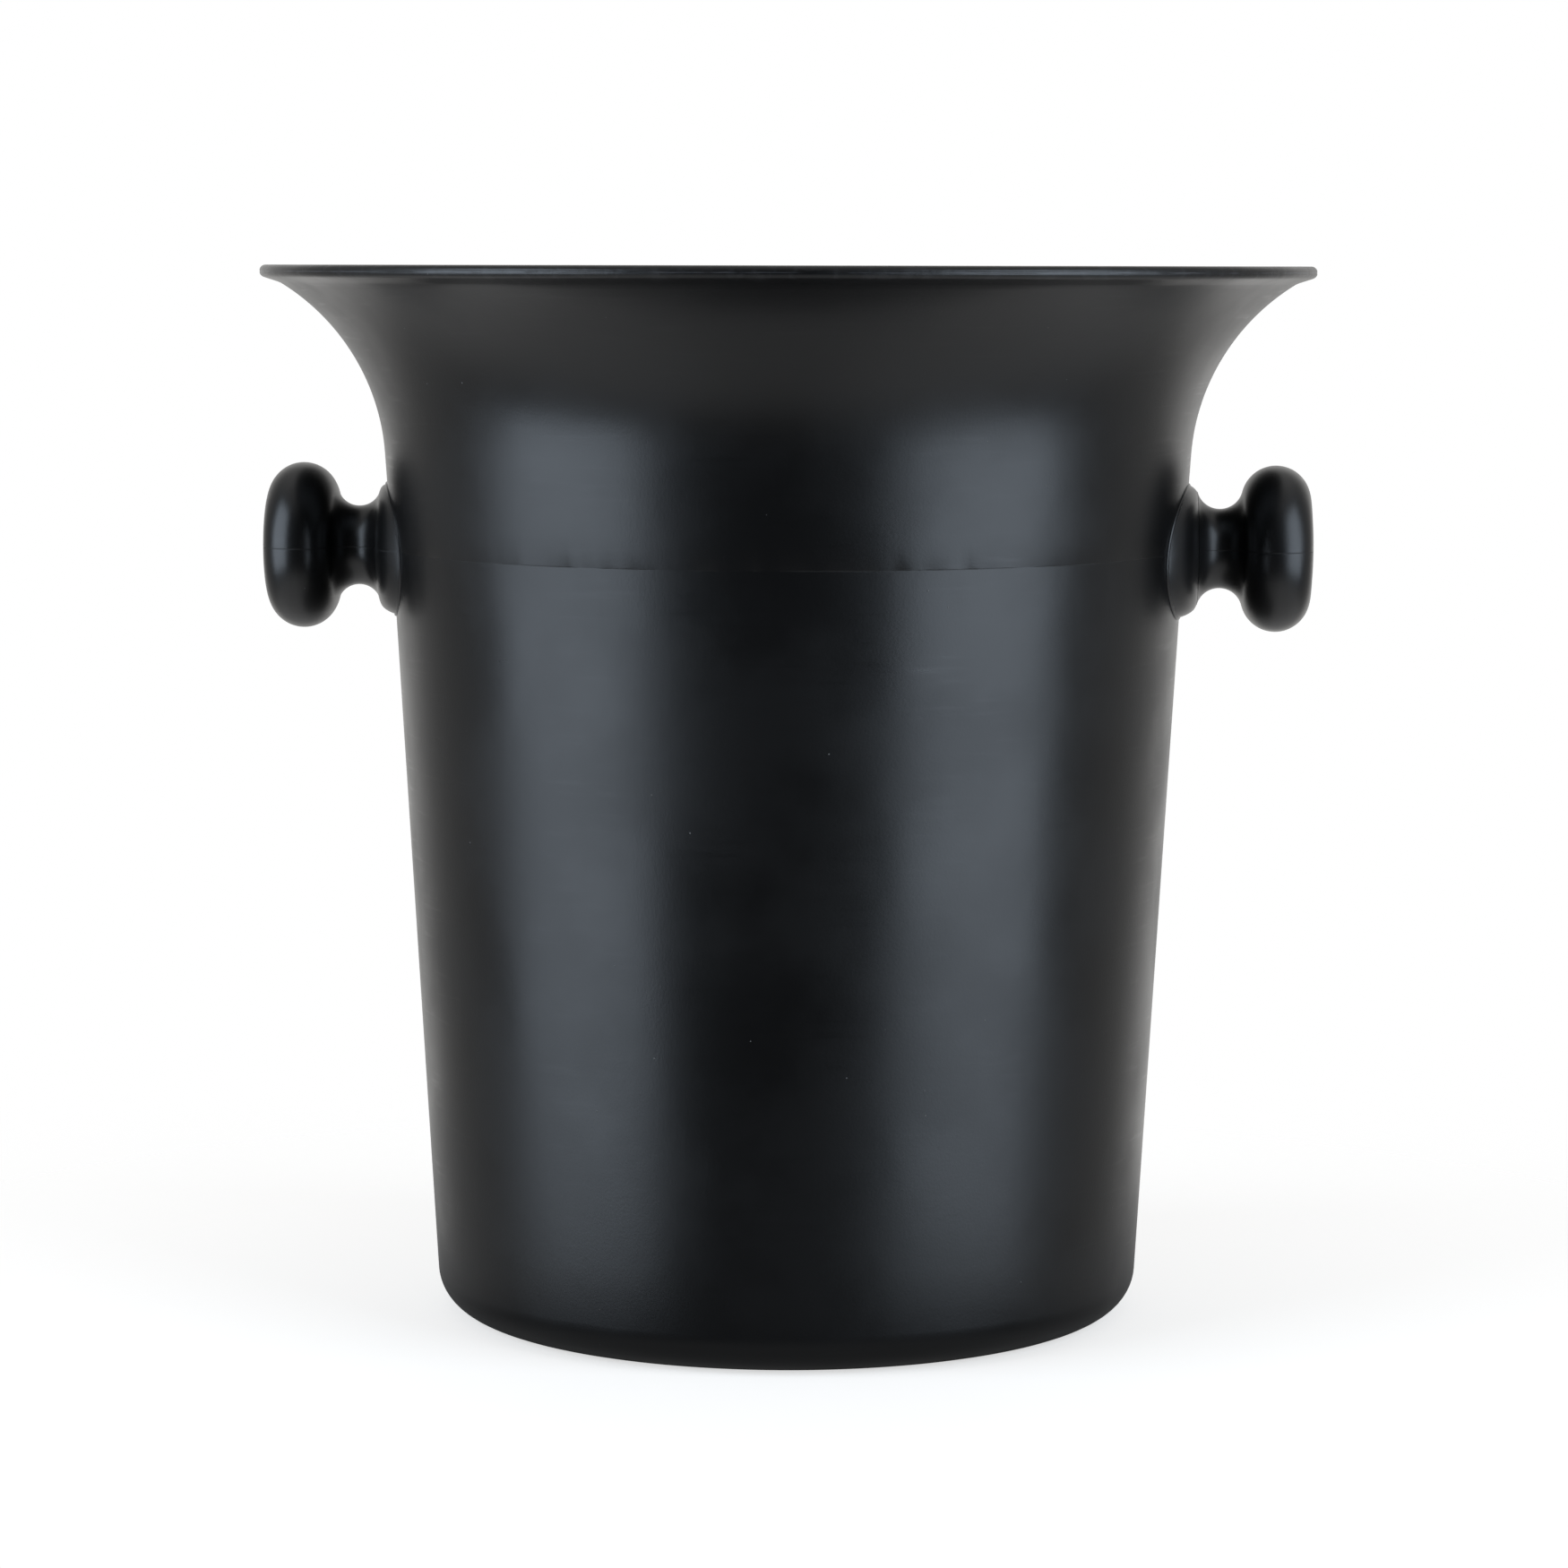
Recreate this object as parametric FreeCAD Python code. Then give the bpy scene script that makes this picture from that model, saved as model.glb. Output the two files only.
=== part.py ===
import FreeCAD, Part
import math
import os

# Round black plastic bucket with a flared rim and a knob on each side.
# The shell is one moulding. Each knob carries a moulded-in brass insert, stands on a
# saddle collar that fits the round wall, and is held by one screw from inside the shell
# over a stainless washer and a rubber seal.
# Millimetres, +Z up. The origin is the middle of the foot, where the bucket stands, and
# the knobs point along -X (left) and +X (right).

# ---- Driving dimensions: shell ----
HEIGHT = 220.0
RIM_RADIUS = 110.0
WALL = 2.5
FOOT_RADIUS = 73.6          # where the lower wall's line would reach the ground
FOOT_CORNER = 9.0           # outer round between the wall and the foot
FOOT_RING_INNER = 58.0      # the ring that touches the ground starts here
FOOT_RECESS = 2.5           # the middle of the underside is lifted by this much
BASE_THICKNESS = 3.0
KNOB_HEIGHT = 161.2         # height of the knobs' axis and of the wall's slight break
WALL_RADIUS_AT_KNOB = 83.0
UPPER_TAPER = math.radians(3.85)
FLARE_START = 181.0         # height where the wall starts to flare
FLARE_RADIUS = 45.0
LIP_EDGE_RADIUS = 1.3       # half the thickness of the rounded lip
LIP_SLOPE = math.radians(18)
LIP_WIDTH = 4.0             # straight part of the lip's underside

# ---- Driving dimensions: knob, along its own axis ----
SEAM_X = 85.7               # plane where the knob's foot meets the collar
KNOB_OUT = 110.0            # outermost point of the knob's face
KNOB_FOOT_RADIUS = 11.85
KNOB_FOOT_BREAK = 0.15      # the foot's sharp edge is broken by this much
NECK_X = 90.5               # middle of the waist
NECK_RADIUS = 8.3
HEAD_RADIUS = 17.4
HEAD_ROUND = 7.2            # radius of the head's fat rim
HEAD_CENTRE_X = 102.2       # where that rim's round is centred

# ---- Driving dimensions: saddle collar ----
# Half width (along the wall) and half height at each distance from the bucket's axis.
COLLAR_SECTIONS = (
    (85.7, 12.6, 11.9),
    (85.1, 16.0, 12.6),
    (84.2, 19.0, 13.1),
    (82.8, 21.8, 13.6),
    (80.8, 24.4, 14.0),
    (78.0, 26.8, 14.2),
    (74.0, 28.6, 14.3),
)

# ---- Driving dimensions: fastening ----
HOLE_RADIUS = 2.75          # clearance for the screw through wall, collar and seal
THREAD_RADIUS = 2.5
SCREW_LENGTH = 16.0
SCREW_HEAD_RADIUS = 4.75
SCREW_HEAD_HEIGHT = 3.6
SCREW_CROWN = 1.1           # how much of the head is its domed top
SCREW_CHAMFER = 0.6
DRIVE_FLATS = 3.0           # hexagon socket, across flats
DRIVE_DEPTH = 2.0
WASHER_RADIUS = 7.5
WASHER_THICKNESS = 1.2
SEAL_RADIUS = 8.0
SEAL_PLANE_X = 78.4         # flat face of the seal, under the washer
INSERT_RADIUS = 3.5
INSERT_LENGTH = 10.0
INSERT_GROOVE = 0.5         # depth of the groove that keys the insert in the plastic
TIP_CLEARANCE = 1.5         # empty hole past the end of the insert

# ---- Derived values ----
LOWER_TAPER = math.atan((WALL_RADIUS_AT_KNOB - FOOT_RADIUS) / KNOB_HEIGHT)
FLOOR_HEIGHT = FOOT_RECESS + BASE_THICKNESS
X_AXIS = FreeCAD.Vector(1, 0, 0)
Z_AXIS = FreeCAD.Vector(0, 0, 1)
KNOB_AXIS_POINT = FreeCAD.Vector(0, 0, KNOB_HEIGHT)


def arc_point(centre, radius, angle):
    """Point of a circle in a (radius, height) half plane."""
    return (centre[0] + radius * math.cos(angle), centre[1] + radius * math.sin(angle))


def revolved(path, to_point, base, axis):
    """Solid from a closed path of lines and arcs.

    The path is a list of ("to", point) and ("arc", middle, end) steps.
    """
    start = path[0][1]
    here = to_point(start)
    edges = []
    for step in path[1:]:
        end = to_point(step[-1])
        if step[0] == "arc":
            edges.append(Part.Arc(here, to_point(step[1]), end).toShape())
        else:
            edges.append(Part.LineSegment(here, end).toShape())
        here = end
    edges.append(Part.LineSegment(here, to_point(start)).toShape())
    return Part.Face(Part.Wire(edges)).revolve(base, axis, 360)


def revolved_upright(path):
    """Solid of revolution about the bucket's axis; path points are (radius, height)."""
    return revolved(
        path, lambda p: FreeCAD.Vector(p[0], 0, p[1]), FreeCAD.Vector(0, 0, 0), Z_AXIS
    )


def revolved_on_knob_axis(path):
    """Solid of revolution about the knob's axis; path points are (x, radius)."""
    return revolved(
        path,
        lambda p: FreeCAD.Vector(p[0], 0, KNOB_HEIGHT + p[1]),
        KNOB_AXIS_POINT,
        X_AXIS,
    )


def rod(start_x, end_x, radius):
    """Cylinder on the knob's axis."""
    start = FreeCAD.Vector(start_x, 0, KNOB_HEIGHT)
    return Part.makeCylinder(radius, end_x - start_x, start, X_AXIS)


def crown_middle(edge, tip_x):
    """Middle of the arc from an edge (x, radius) to the tip of a dome on the knob's axis."""
    rise = tip_x - edge[0]
    sphere_radius = (edge[1] ** 2 + rise ** 2) / (2 * abs(rise))
    centre_x = tip_x - math.copysign(sphere_radius, rise)
    half_turn = math.asin(edge[1] / sphere_radius) / 2
    across = math.copysign(sphere_radius * math.cos(half_turn), rise)
    return (centre_x + across, sphere_radius * math.sin(half_turn))


def wall_steps(offset):
    """Steps up one face of the wall, from above the foot's corner to the top of the flare.

    offset is 0 for the outer face and the wall's thickness for the inner face.
    """
    corner = FOOT_CORNER - offset
    low = 0.0 if offset == 0 else FLOOR_HEIGHT
    knob_point = (WALL_RADIUS_AT_KNOB - offset / math.cos(LOWER_TAPER), KNOB_HEIGHT)
    foot_line = knob_point[0] - (KNOB_HEIGHT - low) * math.tan(LOWER_TAPER)
    corner_centre = (
        foot_line + corner * math.tan(LOWER_TAPER) - corner / math.cos(LOWER_TAPER),
        low + corner,
    )
    corner_middle = arc_point(corner_centre, corner, -(math.pi / 2 + LOWER_TAPER) / 2)
    corner_end = arc_point(corner_centre, corner, -LOWER_TAPER)
    flare_turn = math.pi - UPPER_TAPER
    flare_low = arc_point(FLARE_CENTRE, FLARE_RADIUS + offset, flare_turn)
    return [
        ("to", (corner_centre[0], low)),
        ("arc", corner_middle, corner_end),
        ("to", knob_point),
        ("to", flare_low),
    ]


UPPER_RADIUS = WALL_RADIUS_AT_KNOB + (FLARE_START - KNOB_HEIGHT) * math.tan(UPPER_TAPER)
FLARE_CENTRE = (
    UPPER_RADIUS + FLARE_RADIUS * math.cos(UPPER_TAPER),
    FLARE_START - FLARE_RADIUS * math.sin(UPPER_TAPER),
)


def flare_angle_at_height(radius, height):
    """Angle on the flare's circle, of the given radius, that lies at a height."""
    return math.pi - math.asin((height - FLARE_CENTRE[1]) / radius)


def outer_steps():
    """Outside of the shell, from the foot to the middle of the rim's top."""
    lip_centre = (RIM_RADIUS - LIP_EDGE_RADIUS, HEIGHT - LIP_EDGE_RADIUS)
    under_turn = LIP_SLOPE - math.pi / 2
    lip_low = arc_point(lip_centre, LIP_EDGE_RADIUS, under_turn)
    lip_start = (
        lip_low[0] - LIP_WIDTH * math.cos(LIP_SLOPE),
        lip_low[1] - LIP_WIDTH * math.sin(LIP_SLOPE),
    )
    lip_turn = flare_angle_at_height(FLARE_RADIUS, lip_start[1])
    flare_end = arc_point(FLARE_CENTRE, FLARE_RADIUS, lip_turn)
    flare_middle = arc_point(
        FLARE_CENTRE, FLARE_RADIUS, (math.pi - UPPER_TAPER + lip_turn) / 2
    )
    edge_middle = arc_point(lip_centre, LIP_EDGE_RADIUS, (under_turn + math.pi / 2) / 2)
    return wall_steps(0) + [
        ("arc", flare_middle, flare_end),
        ("to", lip_low),
        ("arc", edge_middle, (lip_centre[0], HEIGHT)),
    ]


def inner_steps():
    """Inside of the shell, from the floor's corner to the rim's top."""
    radius = FLARE_RADIUS + WALL
    top_turn = flare_angle_at_height(radius, HEIGHT)
    top = arc_point(FLARE_CENTRE, radius, top_turn)
    middle = arc_point(FLARE_CENTRE, radius, (math.pi - UPPER_TAPER + top_turn) / 2)
    return wall_steps(WALL) + [("arc", middle, top)]


def solid_envelope():
    """The bucket's outside as one full solid, with no cavity."""
    return revolved_upright([("to", (0, 0))] + outer_steps() + [("to", (0, HEIGHT))])


def cavity():
    """Everything inside the shell, from the floor to the rim."""
    path = [("to", (0, FLOOR_HEIGHT))] + inner_steps() + [("to", (0, HEIGHT))]
    return revolved_upright(path)


def bucket_shell():
    recess = Part.makeCone(FOOT_RING_INNER, FOOT_RING_INNER - 1.0, FOOT_RECESS)
    shell = solid_envelope().cut([cavity(), recess])
    holes = rod(-RIM_RADIUS, RIM_RADIUS, HOLE_RADIUS)
    return shell.cut(holes).removeSplitter()


def knob():
    head = (HEAD_CENTRE_X, HEAD_RADIUS - HEAD_ROUND)
    face_rim = (HEAD_CENTRE_X + HEAD_ROUND, head[1])
    # The waist's arc touches the head's round, so its radius follows from the waist's size.
    across = HEAD_CENTRE_X - NECK_X
    rise = NECK_RADIUS - head[1]
    waist = (across ** 2 + rise ** 2 - HEAD_ROUND ** 2) / (2 * (HEAD_ROUND - rise))
    waist_centre = (NECK_X, NECK_RADIUS + waist)
    reach = math.hypot(across, waist_centre[1] - head[1])
    touch = (
        HEAD_CENTRE_X - across * HEAD_ROUND / reach,
        head[1] + (waist_centre[1] - head[1]) * HEAD_ROUND / reach,
    )
    foot_drop = waist_centre[1] - KNOB_FOOT_RADIUS
    flare_start = (NECK_X - math.sqrt(waist ** 2 - foot_drop ** 2), KNOB_FOOT_RADIUS)
    body = revolved_on_knob_axis([
        ("to", (SEAM_X, 0)),
        ("to", (SEAM_X, KNOB_FOOT_RADIUS - KNOB_FOOT_BREAK)),
        ("to", flare_start),
        ("arc", (NECK_X, NECK_RADIUS), touch),
        ("arc", (HEAD_CENTRE_X, HEAD_RADIUS), face_rim),
        ("arc", crown_middle(face_rim, KNOB_OUT), (KNOB_OUT, 0)),
    ])
    pocket_end = SEAM_X + INSERT_LENGTH
    pilot = rod(pocket_end, pocket_end + TIP_CLEARANCE, THREAD_RADIUS)
    return body.cut([insert_body(), pilot])


def insert_body():
    """Outside of the brass insert, as the plastic closes round it."""
    blank = rod(SEAM_X, SEAM_X + INSERT_LENGTH, INSERT_RADIUS)
    third = INSERT_LENGTH / 3
    ring = rod(SEAM_X + third, SEAM_X + 2 * third, INSERT_RADIUS + 1)
    core = rod(SEAM_X + third, SEAM_X + 2 * third, INSERT_RADIUS - INSERT_GROOVE)
    return blank.cut(ring.cut(core))


def insert():
    return insert_body().cut(rod(SEAM_X, SEAM_X + INSERT_LENGTH, THREAD_RADIUS))


def stadium(x, half_width, half_height):
    """Closed outline across the knob's axis: flat top and bottom, round ends."""
    flat = half_width - half_height

    def at(y, z):
        return FreeCAD.Vector(x, y, KNOB_HEIGHT + z)

    return Part.Wire([
        Part.LineSegment(at(-flat, half_height), at(flat, half_height)).toShape(),
        Part.Arc(
            at(flat, half_height), at(half_width, 0), at(flat, -half_height)
        ).toShape(),
        Part.LineSegment(at(flat, -half_height), at(-flat, -half_height)).toShape(),
        Part.Arc(
            at(-flat, -half_height), at(-half_width, 0), at(-flat, half_height)
        ).toShape(),
    ])


def collar():
    cushion = Part.makeLoft([stadium(*section) for section in COLLAR_SECTIONS], True)
    return cushion.cut([solid_envelope(), rod(0, RIM_RADIUS, HOLE_RADIUS)])


def seal():
    blank = rod(SEAL_PLANE_X, WALL_RADIUS_AT_KNOB, SEAL_RADIUS)
    return blank.common(cavity()).cut(rod(0, RIM_RADIUS, HOLE_RADIUS))


def washer():
    inner = SEAL_PLANE_X - WASHER_THICKNESS
    return rod(inner, SEAL_PLANE_X, WASHER_RADIUS).cut(
        rod(inner, SEAL_PLANE_X, HOLE_RADIUS)
    )


def screw():
    seat = SEAL_PLANE_X - WASHER_THICKNESS
    top = seat - SCREW_HEAD_HEIGHT
    crown_edge = (top + SCREW_CROWN, SCREW_HEAD_RADIUS)
    tip = seat + SCREW_LENGTH
    body = revolved_on_knob_axis([
        ("to", (tip, 0)),
        ("to", (tip, THREAD_RADIUS - SCREW_CHAMFER)),
        ("to", (tip - SCREW_CHAMFER, THREAD_RADIUS)),
        ("to", (seat, THREAD_RADIUS)),
        ("to", (seat, SCREW_HEAD_RADIUS)),
        ("to", crown_edge),
        ("arc", crown_middle(crown_edge, top), (top, 0)),
    ])
    corner_radius = DRIVE_FLATS / math.sqrt(3)
    corners = []
    for turn in range(7):
        angle = math.radians(60 * turn)
        y = corner_radius * math.cos(angle)
        z = KNOB_HEIGHT + corner_radius * math.sin(angle)
        corners.append(FreeCAD.Vector(top, y, z))
    socket = Part.Face(Part.makePolygon(corners)).extrude(X_AXIS * DRIVE_DEPTH)
    return body.cut(socket)


os.makedirs("parts", exist_ok=True)
bucket_shell().exportStep("parts/bucket_shell.step")
SIDE_PIECES = {
    "knob": knob,
    "insert": insert,
    "collar": collar,
    "seal": seal,
    "washer": washer,
    "screw": screw,
}
for name, make in SIDE_PIECES.items():
    right = make()
    left = right.rotated(FreeCAD.Vector(0, 0, 0), Z_AXIS, 180)
    right.exportStep("parts/" + name + "_right.step")
    left.exportStep("parts/" + name + "_left.step")
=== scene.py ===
from math import asin, atan, cos, hypot, pi, radians, sin, tan

import bpy
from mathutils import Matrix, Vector


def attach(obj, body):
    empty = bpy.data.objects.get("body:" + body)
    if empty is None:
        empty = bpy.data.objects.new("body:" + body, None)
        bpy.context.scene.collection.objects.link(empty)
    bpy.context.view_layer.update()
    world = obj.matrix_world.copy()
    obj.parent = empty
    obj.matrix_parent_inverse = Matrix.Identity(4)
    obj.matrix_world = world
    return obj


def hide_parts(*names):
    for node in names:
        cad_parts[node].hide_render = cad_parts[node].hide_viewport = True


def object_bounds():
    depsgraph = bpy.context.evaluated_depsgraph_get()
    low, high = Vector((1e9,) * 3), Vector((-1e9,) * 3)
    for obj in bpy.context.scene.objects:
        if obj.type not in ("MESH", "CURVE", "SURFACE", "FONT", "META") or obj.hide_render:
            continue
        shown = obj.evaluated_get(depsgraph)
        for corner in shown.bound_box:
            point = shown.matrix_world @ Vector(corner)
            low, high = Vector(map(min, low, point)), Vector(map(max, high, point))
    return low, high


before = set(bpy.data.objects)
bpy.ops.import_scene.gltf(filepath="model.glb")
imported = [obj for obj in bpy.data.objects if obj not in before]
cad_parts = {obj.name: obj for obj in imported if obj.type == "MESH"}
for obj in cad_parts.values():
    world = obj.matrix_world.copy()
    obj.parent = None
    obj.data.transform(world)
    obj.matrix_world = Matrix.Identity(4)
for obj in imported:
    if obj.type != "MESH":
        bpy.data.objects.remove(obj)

cad_low, cad_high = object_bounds()
MM = 0.001

# ---- Camera ----
# A long portrait lens on a tripod, level with the lip, about a metre from the bucket and
# turned a little towards the right-hand knob. The head dips to centre the bucket.
CAMERA_DISTANCE = 1.012
CAMERA_TURN = radians(2.4)
CAMERA_DIP = radians(6.16)
CAMERA_ROLL = radians(0.11)
CAMERA_YAW = radians(0.0526)
camera_data = bpy.data.cameras.new("product_camera")
camera_data.lens = 110.5
camera_data.sensor_width = 36.0
camera_data.clip_start = 0.05
camera_data.clip_end = 20.0
camera = bpy.data.objects.new("product_camera", camera_data)
bpy.context.scene.collection.objects.link(camera)
camera.location = (
    CAMERA_DISTANCE * sin(CAMERA_TURN),
    -CAMERA_DISTANCE * cos(CAMERA_TURN),
    cad_high.z + 0.2 * MM,
)
camera.rotation_euler = (pi / 2 - CAMERA_DIP, -CAMERA_ROLL, CAMERA_TURN + CAMERA_YAW)
bpy.context.scene.camera = camera
bpy.context.scene.view_settings.view_transform = "Standard"

# ---- Floor ----
# A round white tabletop that fades into the white sweep behind it. It glows a little, so that the
# bucket leaves only a soft contact shadow. Reflections at a low slant look through it further out.
# Reflections see the table in painted shade with a painted glow: brighter to the sides and where
# they look steeply down, darker at the foot and in the middle.
TABLE_RADIUS = 0.42
# Distances from the bucket's axis: where the camera sees the table fade, where reflections
# see through it, and where they see it shaded beside the foot.
FADE_START, FADE_END = 0.10, 0.32
CLEAR_START, CLEAR_END = 0.05, 0.24
FOOT_SHADE_START, FOOT_SHADE_END, FOOT_SHADE = 0.065, 0.105, 0.3
SEEN_PAINT, SEEN_GLOW = (0.60, 0.572, 0.538, 1), 0.63
# Painted shade: the table's dark colour as reflections see it.
REFLECTED_SHADE_PAINT = (0.08, 0.08, 0.08, 1)
# How steeply a reflection has to look down to see the table, as Layer Weight's Facing.
STEEP, LOW = 0.25, 0.55
STEEP_GLOW, LOW_GLOW = 0.40, 0.04
SIDE_START, SIDE_END, SIDE_GLOW = 0.05, 0.11, 0.21
bpy.ops.object.select_all(action="DESELECT")
bpy.ops.mesh.primitive_circle_add(vertices=128, radius=TABLE_RADIUS, fill_type="NGON")
floor = bpy.context.object
floor.name = "floor"
sweep = bpy.data.materials.new("white_sweep")
sweep.use_nodes = True
tree = sweep.node_tree
nodes, links = tree.nodes, tree.links
nodes.clear()
output = nodes.new("ShaderNodeOutputMaterial")
place = nodes.new("ShaderNodeTexCoord")
length = nodes.new("ShaderNodeVectorMath")
length.operation = "LENGTH"
links.new(place.outputs["Object"], length.inputs[0])


def feed(tree, socket, source):
    """Link a socket to a source, or set it when the source is a plain value."""
    if isinstance(source, bpy.types.NodeSocket):
        tree.links.new(source, socket)
    else:
        socket.default_value = source


def remap(tree, value, low, high, to_low=0.0, to_high=1.0):
    """Smooth step of a value from one range to another."""
    node = tree.nodes.new("ShaderNodeMapRange")
    node.interpolation_type = "SMOOTHSTEP"
    feed(tree, node.inputs["Value"], value)
    feed(tree, node.inputs["From Min"], low)
    feed(tree, node.inputs["From Max"], high)
    node.inputs["To Min"].default_value = to_low
    node.inputs["To Max"].default_value = to_high
    return node.outputs["Result"]


def sums(tree, operation, first, second):
    """Arithmetic on two values."""
    node = tree.nodes.new("ShaderNodeMath")
    node.operation = operation
    feed(tree, node.inputs[0], first)
    feed(tree, node.inputs[1], second)
    return node.outputs["Value"]


ray = nodes.new("ShaderNodeLightPath").outputs["Is Camera Ray"]
slant = nodes.new("ShaderNodeLayerWeight").outputs["Facing"]
split = nodes.new("ShaderNodeSeparateXYZ")
links.new(place.outputs["Object"], split.inputs["Vector"])
sideways = sums(tree, "ABSOLUTE", split.outputs["X"], 0.0)
clear = nodes.new("ShaderNodeMix")
links.new(ray, clear.inputs["Factor"])
see_through = remap(tree, length.outputs["Value"], CLEAR_START, CLEAR_END)
see_through = sums(tree, "MULTIPLY", see_through, remap(tree, slant, STEEP, LOW))
links.new(see_through, clear.inputs["A"])
fade = remap(tree, length.outputs["Value"], FADE_START, FADE_END)
links.new(fade, clear.inputs["B"])
tone = nodes.new("ShaderNodeMix")
tone.data_type = "RGBA"
tone.inputs["A"].default_value = REFLECTED_SHADE_PAINT
tone.inputs["B"].default_value = SEEN_PAINT
links.new(ray, tone.inputs["Factor"])
paint = nodes.new("ShaderNodeBsdfDiffuse")
links.new(tone.outputs["Result"], paint.inputs["Color"])
strength = nodes.new("ShaderNodeMix")
links.new(ray, strength.inputs["Factor"])
# Painted light and shade for reflections: glow steeply below and to the sides, dimmed beside the
# foot.
steep = remap(tree, slant, STEEP, LOW, STEEP_GLOW, LOW_GLOW)
aside = remap(tree, sideways, SIDE_START, SIDE_END, 0.0, SIDE_GLOW)
beside_foot = length.outputs["Value"]
shade = remap(tree, beside_foot, FOOT_SHADE_START, FOOT_SHADE_END, FOOT_SHADE, 1.0)
reflected = sums(tree, "ADD", sums(tree, "MULTIPLY", steep, shade), aside)
links.new(reflected, strength.inputs["A"])
strength.inputs["B"].default_value = SEEN_GLOW
glow = nodes.new("ShaderNodeEmission")
links.new(strength.outputs["Result"], glow.inputs["Strength"])
lit = nodes.new("ShaderNodeAddShader")
links.new(paint.outputs["BSDF"], lit.inputs[0])
links.new(glow.outputs["Emission"], lit.inputs[1])
gone = nodes.new("ShaderNodeBsdfTransparent")
blend = nodes.new("ShaderNodeMixShader")
links.new(clear.outputs["Result"], blend.inputs["Fac"])
links.new(lit.outputs["Shader"], blend.inputs[1])
links.new(gone.outputs["BSDF"], blend.inputs[2])
links.new(blend.outputs["Shader"], output.inputs["Surface"])
floor.data.materials.append(sweep)

# ---- Studio light ----
# White paper behind, above and below, a dark room in front, and two tall soft boxes that
# stand to the left and right of the camera. They draw the two broad bands on the wall.
# Each step of the room is a share of the way from front to back, and its brightness.
FRONT_TO_BACK = ((0.0, 0.03), (0.45, 0.045), (0.60, 0.25), (0.80, 0.34), (0.97, 1.0))
OVERHEAD, UNDERNEATH = (0.60, 1.00, 0.45), (-0.45, -0.85, 0.36)


def placed(tree, operation, vector, by):
    """Arithmetic on two vectors."""
    node = tree.nodes.new("ShaderNodeVectorMath")
    node.operation = operation
    feed(tree, node.inputs[0], vector)
    feed(tree, node.inputs[1], by)
    return node.outputs["Vector"]


world = bpy.data.worlds.new("studio")
bpy.context.scene.world = world
world.use_nodes = True
tree = world.node_tree
nodes, links = tree.nodes, tree.links
nodes.clear()
output = nodes.new("ShaderNodeOutputWorld")
ray = nodes.new("ShaderNodeLightPath")
direction = nodes.new("ShaderNodeTexCoord")
split = nodes.new("ShaderNodeSeparateXYZ")
links.new(direction.outputs["Generated"], split.inputs["Vector"])
room = nodes.new("ShaderNodeValToRGB")
room.color_ramp.interpolation = "EASE"
for stop, level in FRONT_TO_BACK[1:-1]:
    room.color_ramp.elements.new(stop)
for element, (stop, level) in zip(room.color_ramp.elements, FRONT_TO_BACK):
    element.position = stop
    element.color = (level, level * 0.99, level * 0.97, 1)
half = nodes.new("ShaderNodeMapRange")
half.inputs["From Min"].default_value = -1
half.inputs["From Max"].default_value = 1
links.new(split.outputs["Y"], half.inputs["Value"])
links.new(half.outputs["Result"], room.inputs["Fac"])
total = room.outputs["Color"]
for low, high, level in (OVERHEAD, UNDERNEATH):
    panel = remap(tree, split.outputs["Z"], low, high, 0.0, level)
    total = placed(tree, "ADD", total, panel)
unseen = nodes.new("ShaderNodeBackground")
links.new(total, unseen.inputs["Color"])
seen = nodes.new("ShaderNodeBackground")
seen.inputs["Color"].default_value = (1, 1, 1, 1)
blend = nodes.new("ShaderNodeMixShader")
links.new(ray.outputs["Is Camera Ray"], blend.inputs["Fac"])
links.new(unseen.outputs["Background"], blend.inputs[1])
links.new(seen.outputs["Background"], blend.inputs[2])
links.new(blend.outputs["Shader"], output.inputs["Surface"])

SOFT_BOX_REACH = 0.95
SOFT_BOX_LOW, SOFT_BOX_HIGH = -0.27, 1.10
SOFT_BOX_WIDTH = 0.80
SOFT_BOX_WATTS = 11.8
DAYLIGHT = (0.76, 0.87, 1.0)
for side, turn in (("left", -60), ("right", 58)):
    light = bpy.data.lights.new("soft_box_" + side, "AREA")
    light.shape = "RECTANGLE"
    light.size = SOFT_BOX_WIDTH
    light.size_y = SOFT_BOX_HIGH - SOFT_BOX_LOW
    light.energy = SOFT_BOX_WATTS
    light.color = DAYLIGHT
    box = bpy.data.objects.new("soft_box_" + side, light)
    bpy.context.scene.collection.objects.link(box)
    box.location = (
        SOFT_BOX_REACH * sin(radians(turn)),
        -SOFT_BOX_REACH * cos(radians(turn)),
        (SOFT_BOX_LOW + SOFT_BOX_HIGH) / 2,
    )
    box.rotation_euler = (pi / 2, 0, radians(turn))

# ---- Bucket shell ----
# One injection moulding in black polypropylene: foot ring, tapered wall, flared lip. The
# tool's halves meet at knob height and leave a hair line; the lip keeps specks of flash.
rim, height = cad_high.x, cad_high.z
WALL = 2.5 * MM
KNOB_HEIGHT = 161.2 * MM
WALL_AT_KNOB = 83.0 * MM
foot_line = 73.6 * MM
lower_taper = atan((WALL_AT_KNOB - foot_line) / KNOB_HEIGHT)
upper_taper = radians(3.85)
flare_start = 181.0 * MM
FLARE = 45.0 * MM
LIP_ROUND = 1.3 * MM
lip_slope = radians(18)
FLOOR_TOP = 5.5 * MM
CORNER = 9.0 * MM
HOLE = 2.75 * MM
FLASH = 0.09 * MM
WANDER, NICKS = 0.03 * MM, 0.06 * MM
SHELL_STEPS = 400
flare_low = WALL_AT_KNOB + (flare_start - KNOB_HEIGHT) * tan(upper_taper)
flare_centre = (
    flare_low + FLARE * cos(upper_taper),
    flare_start - FLARE * sin(upper_taper),
)


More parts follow.
